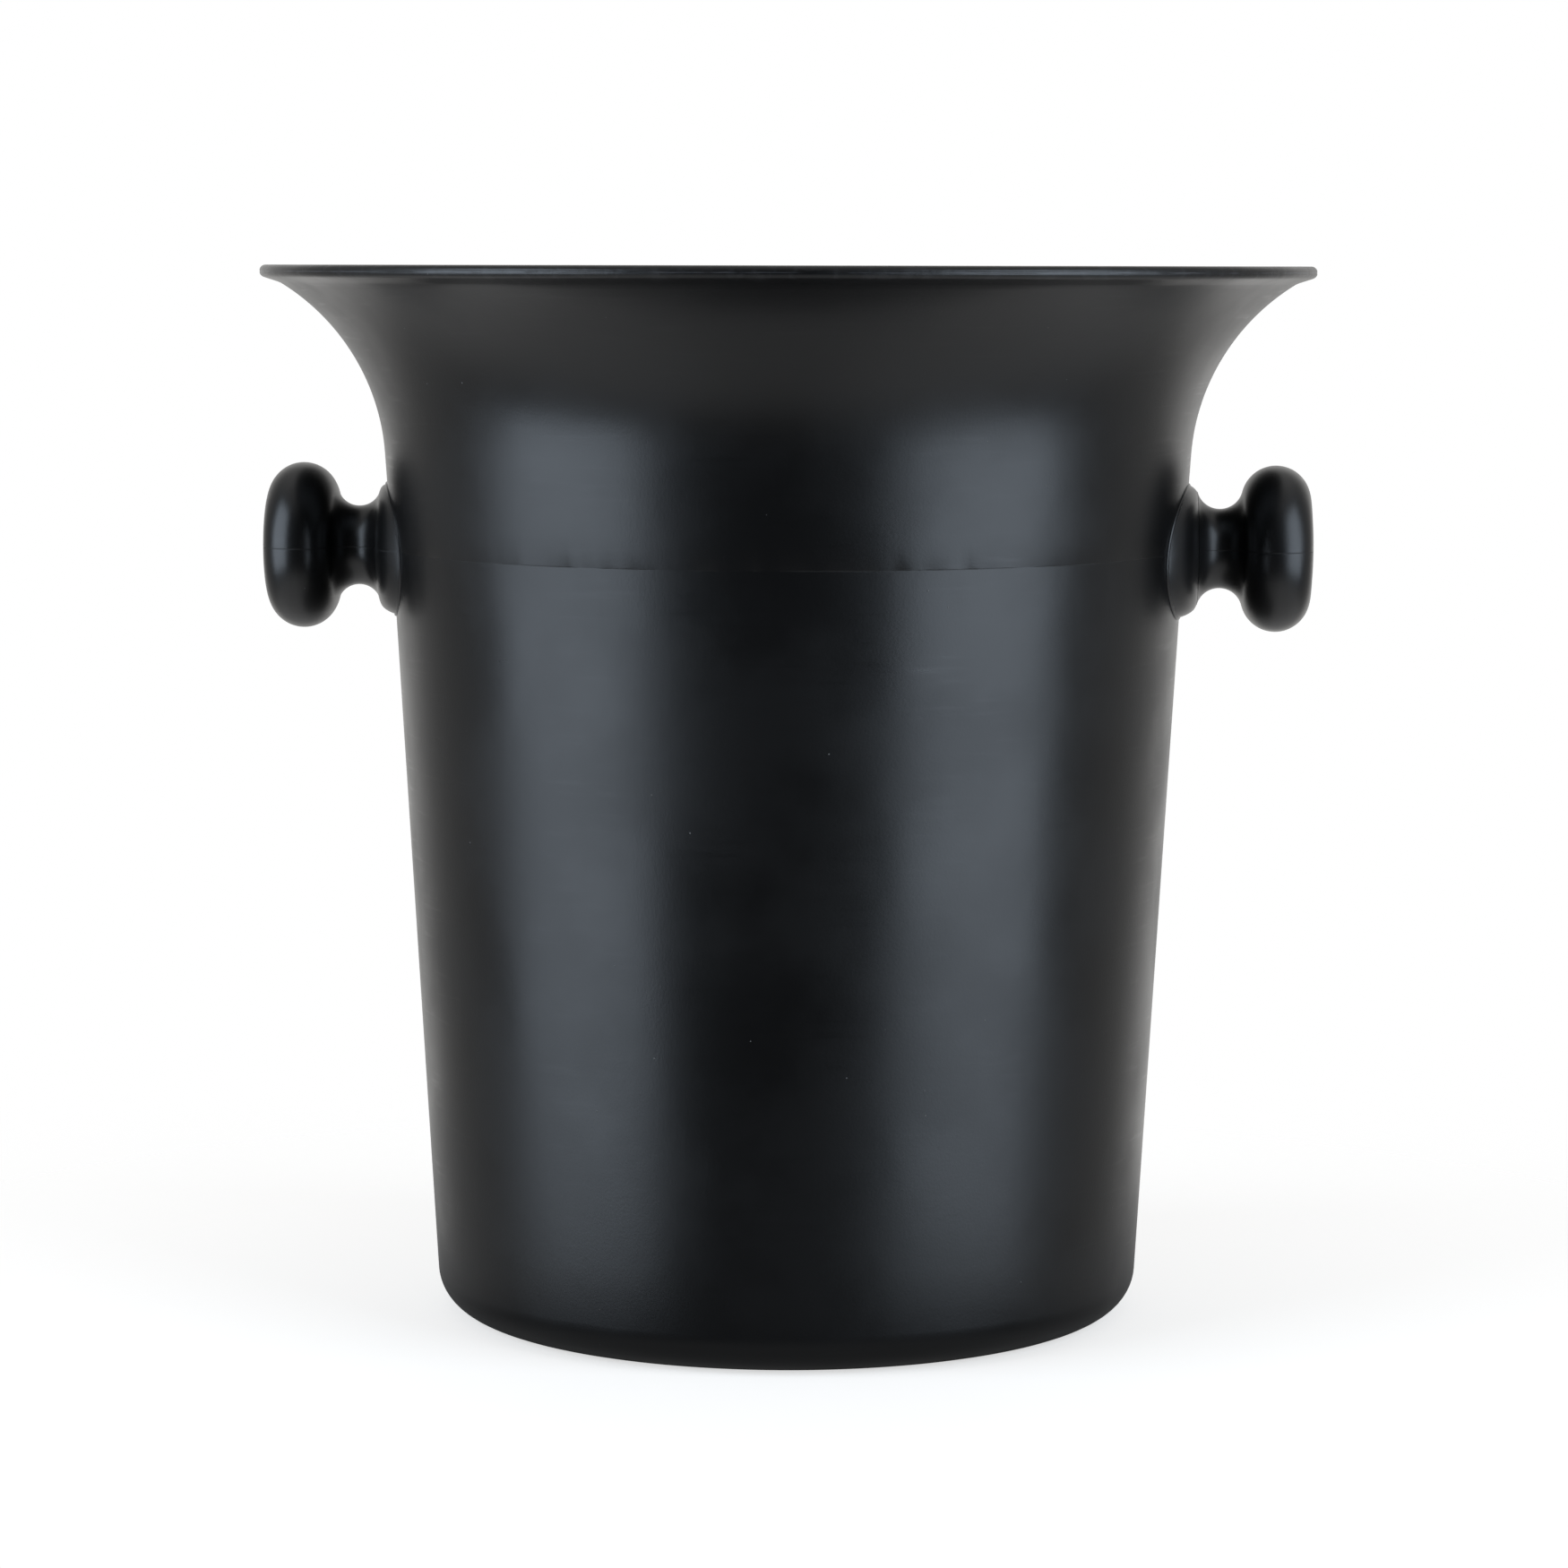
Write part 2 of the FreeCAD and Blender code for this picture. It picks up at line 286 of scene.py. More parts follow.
def arc(centre, radius, start, end, steps):
    """Points along an arc, both ends included."""
    turns = [start + (end - start) * i / steps for i in range(steps + 1)]
    return [(centre[0] + radius * cos(t), centre[1] + radius * sin(t)) for t in turns]


def straight(start, end, steps):
    """Points between two corners, the first included and the last left out."""
    return [
        (start[0] + (end[0] - start[0]) * i / steps, start[1] + (end[1] - start[1]) * i / steps)
        for i in range(steps)
    ]


def corner_arc(offset, low):
    """The round between wall and base, for the outer face or the inner one."""
    radius = CORNER - offset
    at_base = WALL_AT_KNOB - offset / cos(lower_taper) - (KNOB_HEIGHT - low) * tan(lower_taper)
    centre = (at_base + radius * tan(lower_taper) - radius / cos(lower_taper), low + radius)
    return arc(centre, radius, -pi / 2, -lower_taper, 14)


lip_centre = (rim - LIP_ROUND, height - LIP_ROUND)
LIP_LINE = height - LIP_ROUND
lip_under = arc(lip_centre, LIP_ROUND, lip_slope - pi / 2, radians(-15), 6)
lip_under += arc(lip_centre, LIP_ROUND - FLASH, radians(-7), radians(-6), 1)[:1]
lip_under += [(rim, LIP_LINE)]
lip_under += arc(lip_centre, LIP_ROUND - FLASH, radians(7), radians(8), 1)[:1]
lip_under += arc(lip_centre, LIP_ROUND, radians(15), pi / 2, 7)
lip_start = (
    lip_under[0][0] - 4.0 * MM * cos(lip_slope),
    lip_under[0][1] - 4.0 * MM * sin(lip_slope),
)
turn_at_lip = pi - asin((lip_start[1] - flare_centre[1]) / FLARE)
turn_at_top = pi - asin((height - flare_centre[1]) / (FLARE + WALL))
SEAM_HALF = 0.09 * MM
SEAM_DEPTH = 0.025 * MM
seam = [
    (WALL_AT_KNOB - SEAM_HALF * tan(lower_taper), KNOB_HEIGHT - SEAM_HALF),
    (WALL_AT_KNOB - SEAM_DEPTH, KNOB_HEIGHT),
    (WALL_AT_KNOB + SEAM_HALF * tan(upper_taper), KNOB_HEIGHT + SEAM_HALF),
]
outer_corner = corner_arc(0.0, 0.0)
inner_corner = corner_arc(WALL, FLOOR_TOP)
inner_knob = (WALL_AT_KNOB - WALL / cos(lower_taper), KNOB_HEIGHT)
inner_flare = arc(flare_centre, FLARE + WALL, turn_at_top, pi - upper_taper, 24)
outline = [(0.0, 1.7 * MM), (1.6 * MM, 1.7 * MM), (2.0 * MM, 2.5 * MM)]
outline += straight((2.0 * MM, 2.5 * MM), (57.0 * MM, 2.5 * MM), 8)[1:]
outline += [(56.6 * MM, 2.5 * MM), (57.1 * MM, 2.2 * MM), (57.7 * MM, 0.4 * MM), (58.2 * MM, 0.0)]
outline += outer_corner
outline += straight(outer_corner[-1], seam[0], 12)[1:]
outline += seam
outline += straight(seam[2], (flare_low, flare_start), 3)[1:]
outline += arc(flare_centre, FLARE, pi - upper_taper, turn_at_lip, 30)
outline += straight(lip_start, lip_under[0], 4)[1:]
outline += lip_under
outline += inner_flare
outline += straight(inner_flare[-1], inner_knob, 3)[1:]
outline += straight(inner_knob, inner_corner[-1], 10)
outline += inner_corner[::-1]
outline += straight(inner_corner[0], (0.0, FLOOR_TOP), 6)[1:]
outline += [(0.0, FLOOR_TOP)]


def turned(name, points, axis_place, steps):
    """A piece turned like a lathe's: one corner drawn out along the outline, then spun.

    axis_place maps an outline point to space; the spin is about the axis it uses.
    """
    bpy.ops.object.select_all(action="DESELECT")
    bpy.ops.mesh.primitive_plane_add(size=MM)
    piece = bpy.context.object
    piece.name = piece.data.name = name
    spots = [Vector(axis_place["at"](p)) for p in points]
    bpy.ops.object.mode_set(mode="EDIT")
    bpy.ops.mesh.select_mode(type="VERT")
    bpy.ops.mesh.select_all(action="SELECT")
    bpy.ops.mesh.merge(type="CENTER")
    bpy.ops.transform.translate(value=spots[0])
    for before, after in zip(spots, spots[1:]):
        bpy.ops.mesh.extrude_vertices_move(TRANSFORM_OT_translate={"value": after - before})
    bpy.ops.mesh.select_all(action="SELECT")
    bpy.ops.mesh.spin(
        steps=steps, angle=2 * pi, center=axis_place["centre"], axis=axis_place["axis"]
    )
    bpy.ops.mesh.select_all(action="SELECT")
    bpy.ops.mesh.remove_doubles(threshold=2e-6)
    bpy.ops.mesh.normals_make_consistent(inside=False)
    bpy.ops.object.mode_set(mode="OBJECT")
    return piece


def choose(piece, passes):
    """Enter edit mode with just the vertices selected whose place passes the test."""
    bpy.ops.object.mode_set(mode="EDIT")
    bpy.ops.mesh.select_mode(type="VERT")
    bpy.ops.mesh.select_all(action="DESELECT")
    bpy.ops.object.mode_set(mode="OBJECT")
    for vertex in piece.data.vertices:
        vertex.select = passes(vertex.co)
    bpy.ops.object.mode_set(mode="EDIT")


upright = {"at": lambda p: (p[0], 0, p[1]), "centre": (0, 0, 0), "axis": (0, 0, 1)}
shell = turned("bucket_shell_moulding", outline, upright, SHELL_STEPS)
# The hair line wanders, and the ridge of flash round the lip is nicked.
mid_wall = WALL_AT_KNOB - WALL / 2
choose(shell, lambda p: abs(p.z - KNOB_HEIGHT) < 1e-6 and hypot(p.x, p.y) > mid_wall)
bpy.ops.transform.vertex_random(offset=WANDER, seed=5)
bpy.ops.object.mode_set(mode="OBJECT")
choose(shell, lambda p: abs(p.z - LIP_LINE) < 1e-6 and hypot(p.x, p.y) > rim - 1e-6)
bpy.ops.transform.vertex_random(offset=NICKS, seed=11)
drawn_in = 1 - NICKS / rim
bpy.ops.transform.resize(value=(drawn_in, drawn_in, 1), center_override=(0, 0, 0))
bpy.ops.object.mode_set(mode="OBJECT")
# One drill goes through both sides for the knobs' screws.
bpy.ops.object.select_all(action="DESELECT")
bpy.ops.mesh.primitive_cylinder_add(
    vertices=48, radius=HOLE, depth=2 * rim, location=(0, 0, KNOB_HEIGHT), rotation=(0, pi / 2, 0)
)
drill = bpy.context.object
bpy.ops.object.select_all(action="DESELECT")
shell.select_set(True)
bpy.context.view_layer.objects.active = shell
cut = shell.modifiers.new("screw_holes", "BOOLEAN")
cut.object = drill
bpy.ops.object.modifier_apply(modifier="screw_holes")
bpy.data.objects.remove(drill)
bpy.ops.object.shade_smooth_by_angle(angle=radians(28))


def grouped(name, inputs, outputs):
    """An empty shader node group with named sockets, and its two end nodes."""
    group = bpy.data.node_groups.new(name, "ShaderNodeTree")
    for label, kind in inputs:
        group.interface.new_socket(label, in_out="INPUT", socket_type="NodeSocket" + kind)
    for label, kind in outputs:
        group.interface.new_socket(label, in_out="OUTPUT", socket_type="NodeSocket" + kind)
    return group, group.nodes.new("NodeGroupInput"), group.nodes.new("NodeGroupOutput")


def noise(tree, vector, scale, detail):
    """Noise read at a vector, about 0.5 on average."""
    node = tree.nodes.new("ShaderNodeTexNoise")
    feed(tree, node.inputs["Vector"], vector)
    node.inputs["Scale"].default_value = scale
    node.inputs["Detail"].default_value = detail
    return node.outputs["Fac"]


def toned(tree, factor, first, second):
    """Blend of two colours."""
    node = tree.nodes.new("ShaderNodeMix")
    node.data_type = "RGBA"
    feed(tree, node.inputs["Factor"], factor)
    feed(tree, node.inputs["A"], first)
    feed(tree, node.inputs["B"], second)
    return node.outputs["Result"]


# Skin of a moulding: fine grain, slow waves, cloudy gloss, sideways rubs and stuck dust.
skin, skin_in, skin_out = grouped(
    "moulded_skin",
    (
        ("Place", "Vector"),
        ("Tone", "Color"),
        ("Rubbed Tone", "Color"),
        ("Gloss Roughness", "Float"),
    ),
    (("Color", "Color"), ("Roughness", "Float"), ("Height", "Float")),
)
place = skin_in.outputs["Place"]
grain = noise(skin, place, 1900, 2)
waves = noise(skin, place, 170, 1)
clouds = remap(skin, noise(skin, place, 32, 4), 0.36, 0.66)
stretched = placed(skin, "MULTIPLY", place, (60, 60, 900))
rubs = remap(skin, noise(skin, stretched, 1, 3), 0.56, 0.78)
dust = skin.nodes.new("ShaderNodeTexVoronoi")
dust.inputs["Scale"].default_value = 260
feed(skin, dust.inputs["Vector"], place)
split = skin.nodes.new("ShaderNodeSeparateColor")
feed(skin, split.inputs["Color"], dust.outputs["Color"])
specks = sums(
    skin,
    "MULTIPLY",
    remap(skin, dust.outputs["Distance"], 0.05, 0.025),
    remap(skin, split.outputs["Red"], 0.80, 0.90),
)
worn = sums(skin, "MULTIPLY", clouds, 0.35)
worn = sums(skin, "ADD", worn, sums(skin, "MULTIPLY", rubs, 0.45))
rubbed = toned(skin, worn, skin_in.outputs["Tone"], skin_in.outputs["Rubbed Tone"])
DUST_TONE = (0.10, 0.10, 0.095, 1)
feed(skin, skin_out.inputs["Color"], toned(skin, specks, rubbed, DUST_TONE))
rough = skin_in.outputs["Gloss Roughness"]
rough = sums(skin, "ADD", rough, sums(skin, "MULTIPLY", clouds, 0.07))
rough = sums(skin, "ADD", rough, sums(skin, "MULTIPLY", specks, 0.25))
rough = sums(skin, "SUBTRACT", rough, sums(skin, "MULTIPLY", rubs, 0.04))
feed(skin, skin_out.inputs["Roughness"], rough)
relief = sums(skin, "MULTIPLY", grain, 0.012)
relief = sums(skin, "ADD", relief, sums(skin, "MULTIPLY", waves, 0.02))
relief = sums(skin, "ADD", relief, sums(skin, "MULTIPLY", specks, 0.03))
feed(skin, skin_out.inputs["Height"], relief)

# Broken dark hair line where the tool's halves met, at one height.
hair, hair_in, hair_out = grouped(
    "parting_hair", (("Place", "Vector"), ("Line Height", "Float")), (("Mask", "Float"),)
)
split = hair.nodes.new("ShaderNodeSeparateXYZ")
feed(hair, split.inputs["Vector"], hair_in.outputs["Place"])
level = placed(hair, "MULTIPLY", hair_in.outputs["Place"], (1, 1, 0))
wander = noise(hair, level, 330, 3)
wander = sums(hair, "MULTIPLY", sums(hair, "SUBTRACT", wander, 0.5), 0.25 * MM)
away = sums(hair, "SUBTRACT", split.outputs["Z"], hair_in.outputs["Line Height"])
away = sums(hair, "ABSOLUTE", sums(hair, "ADD", away, wander), 0.0)
near = remap(hair, away, 0.14 * MM, 0.05 * MM)
shown = remap(hair, noise(hair, level, 90, 4), 0.40, 0.58)
feed(hair, hair_out.inputs["Mask"], sums(hair, "MULTIPLY", near, shown))

# Scuffed band between two heights, as on a lip that is gripped or a foot that is slid.
scuff, scuff_in, scuff_out = grouped(
    "scuffed_band",
    (("Place", "Vector"), ("Starts", "Float"), ("Full", "Float")),
    (("Mask", "Float"),),
)
split = scuff.nodes.new("ShaderNodeSeparateXYZ")
feed(scuff, split.inputs["Vector"], scuff_in.outputs["Place"])
band = remap(scuff, split.outputs["Z"], scuff_in.outputs["Starts"], scuff_in.outputs["Full"])
patches = remap(scuff, noise(scuff, scuff_in.outputs["Place"], 420, 5), 0.48, 0.66)
feed(scuff, scuff_out.inputs["Mask"], sums(scuff, "MULTIPLY", band, patches))


def used(tree, group, **settings):
    """A group node in a material, reading object coordinates, with its settings."""
    node = tree.nodes.new("ShaderNodeGroup")
    node.node_tree = group
    here = tree.nodes.new("ShaderNodeTexCoord")
    tree.links.new(here.outputs["Object"], node.inputs["Place"])
    for label, value in settings.items():
        feed(tree, node.inputs[label.replace("_", " ")], value)
    return node


def material(name, ior, metallic, bump):
    """A principled material with a bump node in front of its normal."""
    made = bpy.data.materials.new(name)
    made.use_nodes = True
    tree = made.node_tree
    shader = tree.nodes["Principled BSDF"]
    shader.inputs["IOR"].default_value = ior
    shader.inputs["Metallic"].default_value = metallic
    relief = tree.nodes.new("ShaderNodeBump")
    relief.inputs["Strength"].default_value = 1.0
    relief.inputs["Distance"].default_value = bump
    tree.links.new(relief.outputs["Normal"], shader.inputs["Normal"])
    return made, tree, shader.inputs, relief.inputs


shell_plastic, tree, surface, relief = material("satin_black_polypropylene", 1.49, 0.0, MM)
face = used(
    tree,
    skin,
    Tone=(0.0018, 0.0018, 0.0020, 1),
    Rubbed_Tone=(0.0040, 0.0040, 0.0043, 1),
    Gloss_Roughness=0.31,
)
line = used(tree, hair, Line_Height=KNOB_HEIGHT)
lip = used(tree, scuff, Starts=height - 3.6 * MM, Full=height - 2.2 * MM)
flash = used(tree, hair, Line_Height=LIP_LINE)
foot = used(tree, scuff, Starts=1.6 * MM, Full=0.1 * MM)
# The flash line is painted lighter: partly whitened flash, partly a painted highlight along the
# lip's edge.
HAIR_TONE, FLASH_AND_HIGHLIGHT_TONE = (0.001, 0.001, 0.001, 1), (0.045, 0.045, 0.048, 1)
GRIPPED_TONE, SLID_TONE = (0.016, 0.016, 0.017, 1), (0.030, 0.029, 0.028, 1)
tone = toned(tree, line.outputs["Mask"], face.outputs["Color"], HAIR_TONE)
tone = toned(tree, sums(tree, "MULTIPLY", lip.outputs["Mask"], 0.5), tone, GRIPPED_TONE)
tone = toned(tree, flash.outputs["Mask"], tone, FLASH_AND_HIGHLIGHT_TONE)
tone = toned(tree, foot.outputs["Mask"], tone, SLID_TONE)
feed(tree, surface["Base Color"], tone)
rough = face.outputs["Roughness"]
rough = sums(tree, "ADD", rough, sums(tree, "MULTIPLY", line.outputs["Mask"], 0.10))
rough = sums(tree, "ADD", rough, sums(tree, "MULTIPLY", foot.outputs["Mask"], 0.25))
feed(tree, surface["Roughness"], rough)
marks = face.outputs["Height"]
marks = sums(tree, "SUBTRACT", marks, sums(tree, "MULTIPLY", line.outputs["Mask"], 0.015))
marks = sums(tree, "SUBTRACT", marks, sums(tree, "MULTIPLY", lip.outputs["Mask"], 0.015))
feed(tree, relief["Height"], marks)
shell.data.materials.append(shell_plastic)
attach(shell, "root")
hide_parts("bucket_shell")

# ---- Rubber seals ----
# A soft black ring inside the wall round each screw hole. Its outer face is moulded to the
# curve of the wall, and its flat face takes the washer.
seal_rubber, tree, surface, relief = material("matt_black_rubber", 1.52, 0.0, MM)
face = used(
    tree,
    skin,
    Tone=(0.012, 0.012, 0.012, 1),
    Rubbed_Tone=(0.026, 0.025, 0.024, 1),
    Gloss_Roughness=0.62,
)
feed(tree, surface["Base Color"], face.outputs["Color"])
feed(tree, surface["Roughness"], face.outputs["Roughness"])
feed(tree, relief["Height"], sums(tree, "MULTIPLY", face.outputs["Height"], 2.0))
for side in ("left", "right"):
    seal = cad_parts["seal_" + side]
    seal.data.materials.clear()
    seal.data.materials.append(seal_rubber)

# ---- Washers ----
# Stainless discs, punched and tumbled, so that both faces have a soft broken edge. They
# spread the screw's load over the rubber.
WASHER, WASHER_OUT, WASHER_IN = 7.5 * MM, 78.4 * MM, 77.2 * MM
BREAK = 0.18 * MM
WASHER_STEPS = 96


def on_knob(sign):
    """How a piece that is turned about a knob's axis is placed, on one side."""
    return {
        "at": lambda p: (sign * p[0], 0, KNOB_HEIGHT + p[1]),
        "centre": (0, 0, KNOB_HEIGHT),
        "axis": (1, 0, 0),
    }


# Turned or punched metal: rings round the axis, bright worn tops and small pits.
turning, turning_in, turning_out = grouped(
    "turned_metal",
    (
        ("Place", "Vector"),
        ("Tone", "Color"),
        ("Dull Tone", "Color"),
        ("Gloss Roughness", "Float"),
    ),
    (("Color", "Color"), ("Roughness", "Float"), ("Height", "Float")),
)
centred = placed(turning, "SUBTRACT", turning_in.outputs["Place"], (0, 0, KNOB_HEIGHT))
centred = placed(turning, "MULTIPLY", centred, (0, 1, 1))
radius = turning.nodes.new("ShaderNodeVectorMath")
radius.operation = "LENGTH"
feed(turning, radius.inputs[0], centred)
ringed = turning.nodes.new("ShaderNodeCombineXYZ")
feed(turning, ringed.inputs["X"], radius.outputs["Value"])
ringed = placed(turning, "MULTIPLY", ringed.outputs["Vector"], (9000, 0, 0))
rings = noise(turning, ringed, 1, 4)
stains = remap(turning, noise(turning, turning_in.outputs["Place"], 600, 4), 0.42, 0.68)
pits = remap(turning, noise(turning, turning_in.outputs["Place"], 5200, 2), 0.66, 0.74)
dull = sums(turning, "MULTIPLY", stains, 0.55)
dull = sums(turning, "ADD", dull, sums(turning, "MULTIPLY", pits, 0.4))
feed(
    turning,
    turning_out.inputs["Color"],
    toned(turning, dull, turning_in.outputs["Tone"], turning_in.outputs["Dull Tone"]),
)
rough = turning_in.outputs["Gloss Roughness"]
rough = sums(turning, "ADD", rough, sums(turning, "MULTIPLY", dull, 0.16))
feed(turning, turning_out.inputs["Roughness"], rough)
cuts = sums(turning, "MULTIPLY", rings, 0.010)
cuts = sums(turning, "SUBTRACT", cuts, sums(turning, "MULTIPLY", pits, 0.006))
feed(turning, turning_out.inputs["Height"], cuts)

stainless, tree, surface, relief = material("turned_stainless_steel", 2.5, 1.0, MM)
face = used(
    tree,
    turning,
    Tone=(0.58, 0.57, 0.55, 1),
    Dull_Tone=(0.34, 0.33, 0.31, 1),
    Gloss_Roughness=0.24,
)
feed(tree, surface["Base Color"], face.outputs["Color"])
feed(tree, surface["Roughness"], face.outputs["Roughness"])
feed(tree, relief["Height"], face.outputs["Height"])
washer_outline = [
    (WASHER_IN, HOLE + BREAK),
    (WASHER_IN, WASHER - BREAK),
    (WASHER_IN + 0.3 * BREAK, WASHER - 0.3 * BREAK),
    (WASHER_IN + BREAK, WASHER),
    (WASHER_OUT - BREAK, WASHER),
    (WASHER_OUT - 0.3 * BREAK, WASHER - 0.3 * BREAK),
    (WASHER_OUT, WASHER - BREAK),
    (WASHER_OUT, HOLE),
    (WASHER_IN + BREAK, HOLE),
    (WASHER_IN, HOLE + BREAK),
]
for side, sign in (("left", -1), ("right", 1)):
    washer = turned("washer_disc_" + side, washer_outline, on_knob(sign), WASHER_STEPS)
    bpy.ops.object.shade_smooth_by_angle(angle=radians(40))
    washer.data.materials.append(stainless)
    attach(washer, "root")
    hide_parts("washer_" + side)

# ---- Screws ----
# Stainless machine screws with a domed head and a hexagon socket. Each goes through washer,
# seal, wall and collar into the knob's insert.
HEAD_TOP, HEAD_EDGE = 73.6 * MM, 4.75 * MM
SHANK, TIP = 2.5 * MM, 93.2 * MM
THREAD_PITCH, THREAD_DEPTH = 0.8 * MM, 0.35 * MM
SOCKET, KEY_LENGTH = 3.0 * MM, 4.0 * MM
SCREW_STEPS = 72
screw_outline = [(HEAD_TOP, 0.0), (HEAD_TOP + 0.02 * MM, 1.2 * MM)]
screw_outline += [(HEAD_TOP + 0.16 * MM, 2.2 * MM)]
screw_outline += [(HEAD_TOP + 0.5 * MM, 3.4 * MM), (HEAD_TOP + 0.85 * MM, 4.2 * MM)]
screw_outline += [(HEAD_TOP + 1.15 * MM, 4.6 * MM), (HEAD_TOP + 1.5 * MM, HEAD_EDGE)]
screw_outline += [(WASHER_IN - BREAK, HEAD_EDGE), (WASHER_IN, HEAD_EDGE - BREAK)]
screw_outline += [(WASHER_IN, SHANK), (WASHER_IN + 9 * MM, SHANK)]
ridges = int((TIP - screw_outline[-1][0]) / THREAD_PITCH) - 1
for ridge in range(ridges):
    start = screw_outline[-1][0]
    screw_outline += [(start + THREAD_PITCH / 2, SHANK - THREAD_DEPTH)]
    screw_outline += [(start + THREAD_PITCH, SHANK)]
screw_outline += [(TIP - 0.5 * MM, SHANK - 0.1 * MM), (TIP, SHANK - 0.6 * MM), (TIP, 0.0)]
for side, sign in (("left", -1), ("right", 1)):
    screw = turned("screw_steel_" + side, screw_outline, on_knob(sign), SCREW_STEPS)
    bpy.ops.object.select_all(action="DESELECT")
    bpy.ops.mesh.primitive_cylinder_add(
        vertices=6,
        radius=SOCKET / 2 / cos(pi / 6),
        depth=KEY_LENGTH,
        location=(sign * HEAD_TOP, 0, KNOB_HEIGHT),
        rotation=(0, pi / 2, 0),
    )
    key = bpy.context.object
    bpy.ops.object.select_all(action="DESELECT")
    screw.select_set(True)
    bpy.context.view_layer.objects.active = screw
    cut = screw.modifiers.new("socket", "BOOLEAN")
    cut.object = key
    bpy.ops.object.modifier_apply(modifier="socket")
    bpy.data.objects.remove(key)
    bpy.ops.object.shade_smooth_by_angle(angle=radians(35))
    screw.data.materials.append(stainless)
    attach(screw, "root")
    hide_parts("screw_" + side)

# ---- Brass inserts ----
# Threaded brass sleeves with a keying groove, moulded into the knobs. They show only when
# a knob is taken off.
brass, tree, surface, relief = material("machined_brass", 2.0, 1.0, MM)
face = used(
    tree,
    turning,
    Tone=(0.62, 0.44, 0.17, 1),
    Dull_Tone=(0.33, 0.22, 0.09, 1),
    Gloss_Roughness=0.27,
)
feed(tree, surface["Base Color"], face.outputs["Color"])
feed(tree, surface["Roughness"], face.outputs["Roughness"])
feed(tree, relief["Height"], face.outputs["Height"])
for side in ("left", "right"):
    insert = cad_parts["insert_" + side]
    insert.data.materials.clear()
    insert.data.materials.append(brass)

# ---- Saddle collars ----
# Black pads between the round wall and the flat foot of each knob, one moulding each, with
# a fine bead where the pad meets the wall.
knob_plastic, tree, surface, relief = material("semigloss_black_abs", 1.53, 0.0, MM)
face = used(
    tree,
    skin,
    Tone=(0.0022, 0.0022, 0.0024, 1),
    Rubbed_Tone=(0.0042, 0.0042, 0.0046, 1),
    Gloss_Roughness=0.32,
)
line = used(tree, hair, Line_Height=KNOB_HEIGHT)
feed(
    tree,
    surface["Base Color"],
    toned(tree, line.outputs["Mask"], face.outputs["Color"], (0.0008, 0.0008, 0.0008, 1)),
)
feed(
    tree,
    surface["Roughness"],
    sums(tree, "ADD", face.outputs["Roughness"], sums(tree, "MULTIPLY", line.outputs["Mask"], 0.2)),
)
feed(tree, relief["Height"], sums(tree, "MULTIPLY", face.outputs["Height"], 0.7))
BEAD = 0.42 * MM


def wall_radius(z):
    """Radius of the wall's outer face at a height near the knobs."""
    taper = upper_taper if z > KNOB_HEIGHT else lower_taper
    return WALL_AT_KNOB + (z - KNOB_HEIGHT) * tan(taper)


for side in ("left", "right"):
    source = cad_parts["collar_" + side]
    collar = source.copy()
    collar.data = source.data.copy()
    collar.name = collar.data.name = "collar_pad_" + side
    bpy.context.scene.collection.objects.link(collar)
    bpy.ops.object.select_all(action="DESELECT")
    collar.select_set(True)
    bpy.context.view_layer.objects.active = collar
    bpy.ops.object.mode_set(mode="EDIT")
    bpy.ops.mesh.select_all(action="SELECT")
    bpy.ops.mesh.remove_doubles(threshold=2e-6)
    bpy.ops.mesh.normals_make_consistent(inside=False)
    bpy.ops.mesh.select_mode(type="EDGE")
    bpy.ops.mesh.select_all(action="DESELECT")
    bpy.ops.mesh.edges_select_sharp(sharpness=radians(25))
    bpy.ops.object.mode_set(mode="OBJECT")
    corners = collar.data.vertices
    for edge in collar.data.edges:
        on_wall = all(
            abs(hypot(corners[i].co.x, corners[i].co.y) - wall_radius(corners[i].co.z)) < 0.1 * MM
            and hypot(corners[i].co.y, corners[i].co.z - KNOB_HEIGHT) > 2 * HOLE
            for i in edge.vertices
        )
        edge.select = edge.select and on_wall
    for vertex in corners:
        vertex.select = False
    bpy.ops.object.mode_set(mode="EDIT")
    bpy.ops.mesh.duplicate()
    bpy.ops.mesh.separate(type="SELECTED")
    bpy.ops.object.mode_set(mode="OBJECT")
    bead = next(o for o in bpy.context.selected_objects if o != collar)
    bpy.ops.object.select_all(action="DESELECT")
    bead.select_set(True)
    bpy.context.view_layer.objects.active = bead
    bpy.ops.object.convert(target="CURVE")
    bead.data.bevel_depth = BEAD
    bead.data.bevel_resolution = 3
    bpy.ops.object.convert(target="MESH")
    bead = bpy.context.object
    collar.select_set(True)
    bpy.context.view_layer.objects.active = collar
    bpy.ops.object.join()
    bpy.ops.object.shade_smooth_by_angle(angle=radians(30))
    collar.data.materials.clear()
    collar.data.materials.append(knob_plastic)
    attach(collar, "root")
    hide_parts("collar_" + side)

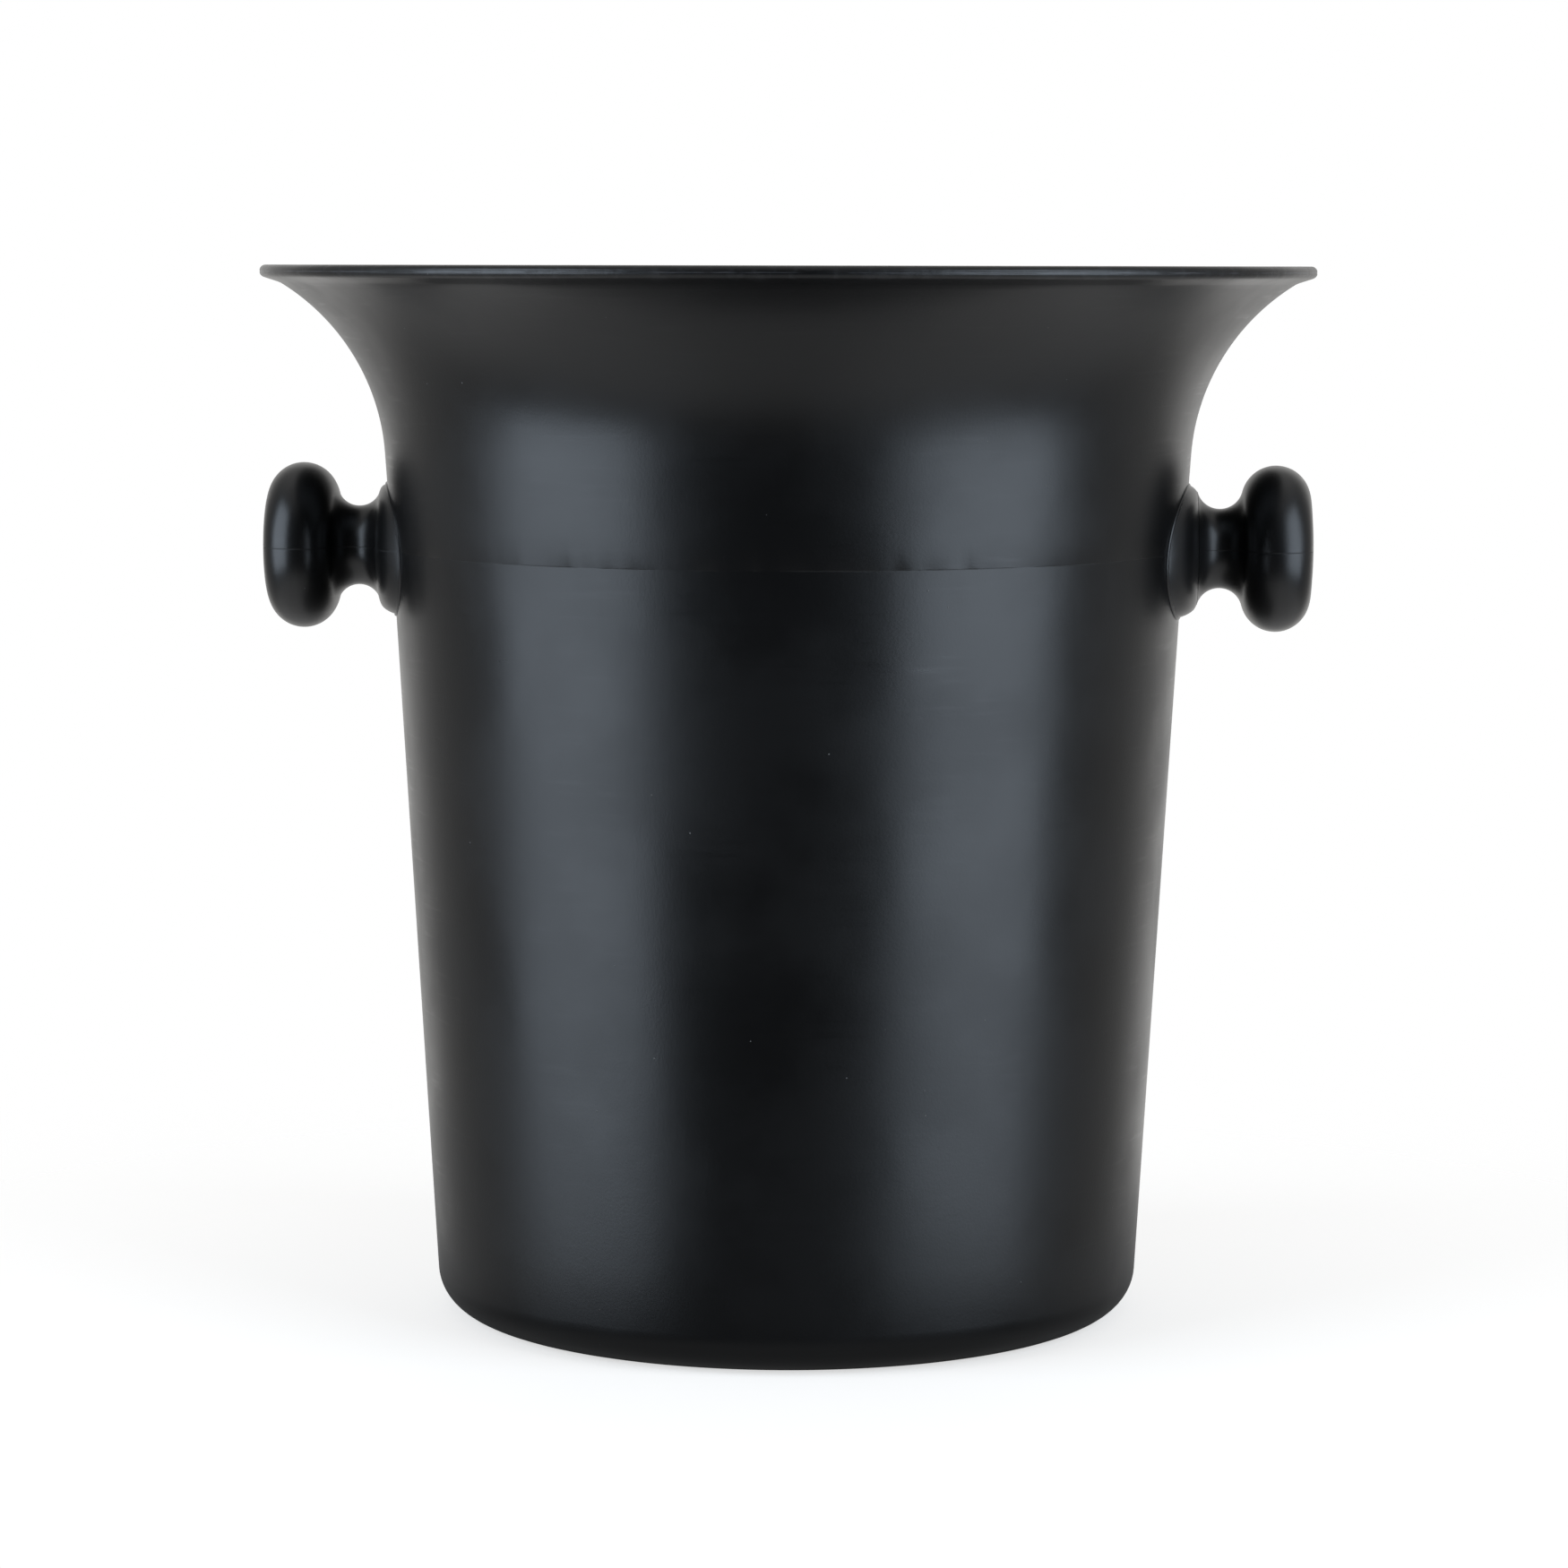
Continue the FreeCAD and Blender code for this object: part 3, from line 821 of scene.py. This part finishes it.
# ---- Knobs ----
# Half-gloss black mouldings: a fat round head to grip, a waist, and a foot that flares to the
# collar's width. The tool's halves leave a hair line round each at half height.
FOOT_X = 85.7 * MM
FOOT = 11.85 * MM
NECK_X, NECK = 90.5 * MM, 8.3 * MM
HEAD_X, HEAD, HEAD_ROUND = 102.2 * MM, 17.4 * MM, 7.2 * MM
SLEEVE, SLEEVE_END = 3.5 * MM, 95.7 * MM
POCKET_END = SLEEVE_END + 1.5 * MM
FOOT_EDGE = 0.15 * MM
HAIR_WIDTH, HAIR_SINK = 0.10 * MM, 0.04 * MM
KNOB_STEPS = 144
ring = HEAD - HEAD_ROUND
across, rise = HEAD_X - NECK_X, NECK - ring
waist = (across ** 2 + rise ** 2 - HEAD_ROUND ** 2) / (2 * (HEAD_ROUND - rise))
waist_centre = (NECK_X, NECK + waist)
reach = hypot(across, waist_centre[1] - ring)
touch = asin((waist_centre[1] - ring) / reach)
foot_turn = asin((FOOT - waist_centre[1]) / waist)
crown = rim - HEAD_X - HEAD_ROUND
sphere = (ring ** 2 + crown ** 2) / (2 * crown)
crown_turn = asin(ring / sphere)
knob_outline = [(POCKET_END, 0.0), (POCKET_END, SHANK), (SLEEVE_END, SHANK)]
knob_outline += [(SLEEVE_END, SLEEVE), (FOOT_X, SLEEVE), (FOOT_X, FOOT - FOOT_EDGE)]
knob_outline += arc(waist_centre, waist, pi - foot_turn, 2 * pi - touch, 28)
knob_outline += arc((HEAD_X, ring), HEAD_ROUND, pi - touch, 0.0, 40)[1:]
knob_outline += arc((rim - sphere, 0.0), sphere, crown_turn, 0.0, 6)[1:]
for side, sign in (("left", -1), ("right", 1)):
    knob = turned("knob_moulding_" + side, knob_outline, on_knob(sign), KNOB_STEPS)
    choose(knob, lambda p: abs(p.z - KNOB_HEIGHT) < 1e-6 and abs(p.y) > SLEEVE + MM)
    bpy.ops.mesh.bevel(offset=HAIR_WIDTH, segments=2, affect="EDGES")
    bpy.ops.object.mode_set(mode="OBJECT")
    choose(knob, lambda p: abs(p.z - KNOB_HEIGHT) < 1e-6 and abs(p.y) > SLEEVE + MM)
    bpy.ops.transform.shrink_fatten(value=-HAIR_SINK)
    bpy.ops.object.mode_set(mode="OBJECT")
    bpy.ops.object.shade_smooth_by_angle(angle=radians(28))
    knob.data.materials.append(knob_plastic)
    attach(knob, "root")
    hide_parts("knob_" + side)
